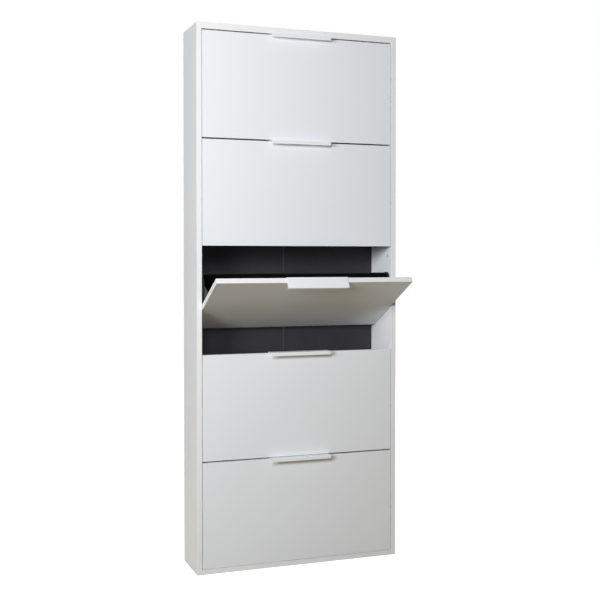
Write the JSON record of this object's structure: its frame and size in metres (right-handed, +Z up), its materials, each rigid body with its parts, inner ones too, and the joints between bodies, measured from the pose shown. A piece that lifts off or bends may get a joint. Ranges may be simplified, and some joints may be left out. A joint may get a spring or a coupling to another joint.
{
  "type": "tilt-out shoe cabinet",
  "caption": "Tall shallow shoe cabinet with inset flaps, one above another, that tilt out on pivots and carry a shoe rack behind each.",
  "frame": {"origin": "centre of the cabinet's footprint, on the floor", "axes": "+X to the right seen from the front, +Y to the wall behind, +Z up"},
  "size_m": [0.75, 0.3828, 1.9],
  "materials": {
    "white_board": "white melamine foil, satin",
    "flap_board": "white lacquer, satin",
    "charcoal_board": "charcoal printed hardboard",
    "grey_strip": "extruded, satin",
    "beech": "fluted, raw",
    "zinc_cast": "die-cast zinc",
    "plated_steel": "zinc plated",
    "bush_plastic": "moulded, satin",
    "stop_plastic": "moulded, satin",
    "handle_white": "white powder coat",
    "rack_black": "moulded, fine grain",
    "rack_board": "extruded, fine grain"
  },
  "bodies": {
    "carcass": {"side_panel_left": "white_board", "side_panel_right": "white_board", "top_panel": "white_board", "bottom_panel": "white_board", "back_panel_left": "charcoal_board", "back_panel_right": "charcoal_board", "back_joint_strip": "grey_strip", "wall_rail": "white_board", "dowels": "beech", "cam_locks": "zinc_cast", "cam_bolts": "plated_steel", "pivot_bushes_left": "bush_plastic", "pivot_bushes_right": "bush_plastic", "open_stops": "stop_plastic", "shut_stops": "stop_plastic"},
    "flap_1": {"flap_1_board": "flap_board", "flap_1_handle": "handle_white", "flap_1_cheek_left": "rack_black", "flap_1_cheek_right": "rack_black", "flap_1_rack_floor": "rack_board", "flap_1_rack_rear": "rack_board", "flap_1_pivot_pins": "plated_steel", "flap_1_screws": "plated_steel"},
    "flap_2": {"flap_2_board": "flap_board", "flap_2_handle": "handle_white", "flap_2_cheek_left": "rack_black", "flap_2_cheek_right": "rack_black", "flap_2_rack_floor": "rack_board", "flap_2_rack_rear": "rack_board", "flap_2_pivot_pins": "plated_steel", "flap_2_screws": "plated_steel"},
    "flap_3": {"flap_3_board": "flap_board", "flap_3_handle": "handle_white", "flap_3_cheek_left": "rack_black", "flap_3_cheek_right": "rack_black", "flap_3_rack_floor": "rack_board", "flap_3_rack_rear": "rack_board", "flap_3_pivot_pins": "plated_steel", "flap_3_screws": "plated_steel"},
    "flap_4": {"flap_4_board": "flap_board", "flap_4_handle": "handle_white", "flap_4_cheek_left": "rack_black", "flap_4_cheek_right": "rack_black", "flap_4_rack_floor": "rack_board", "flap_4_rack_rear": "rack_board", "flap_4_pivot_pins": "plated_steel", "flap_4_screws": "plated_steel"},
    "flap_5": {"flap_5_board": "flap_board", "flap_5_handle": "handle_white", "flap_5_cheek_left": "rack_black", "flap_5_cheek_right": "rack_black", "flap_5_rack_floor": "rack_board", "flap_5_rack_rear": "rack_board", "flap_5_pivot_pins": "plated_steel", "flap_5_screws": "plated_steel"}
  },
  "joints": [
    {"name": "flap_1_tilt", "type": "hinge", "parent": "carcass", "child": "flap_1", "pos_m": [0, -0.086, 1.665], "axis": [1, 0, 0], "range_deg": [0, 62.5]},
    {"name": "flap_2_tilt", "type": "hinge", "parent": "carcass", "child": "flap_2", "pos_m": [0, -0.086, 1.293], "axis": [1, 0, 0], "range_deg": [0, 62.5]},
    {"name": "flap_3_tilt", "type": "hinge", "parent": "carcass", "child": "flap_3", "pos_m": [0, -0.086, 0.921], "axis": [1, 0, 0], "range_deg": [-62.5, 0]},
    {"name": "flap_4_tilt", "type": "hinge", "parent": "carcass", "child": "flap_4", "pos_m": [0, -0.086, 0.549], "axis": [1, 0, 0], "range_deg": [0, 62.5]},
    {"name": "flap_5_tilt", "type": "hinge", "parent": "carcass", "child": "flap_5", "pos_m": [0, -0.086, 0.177], "axis": [1, 0, 0], "range_deg": [0, 62.5]}
  ]
}
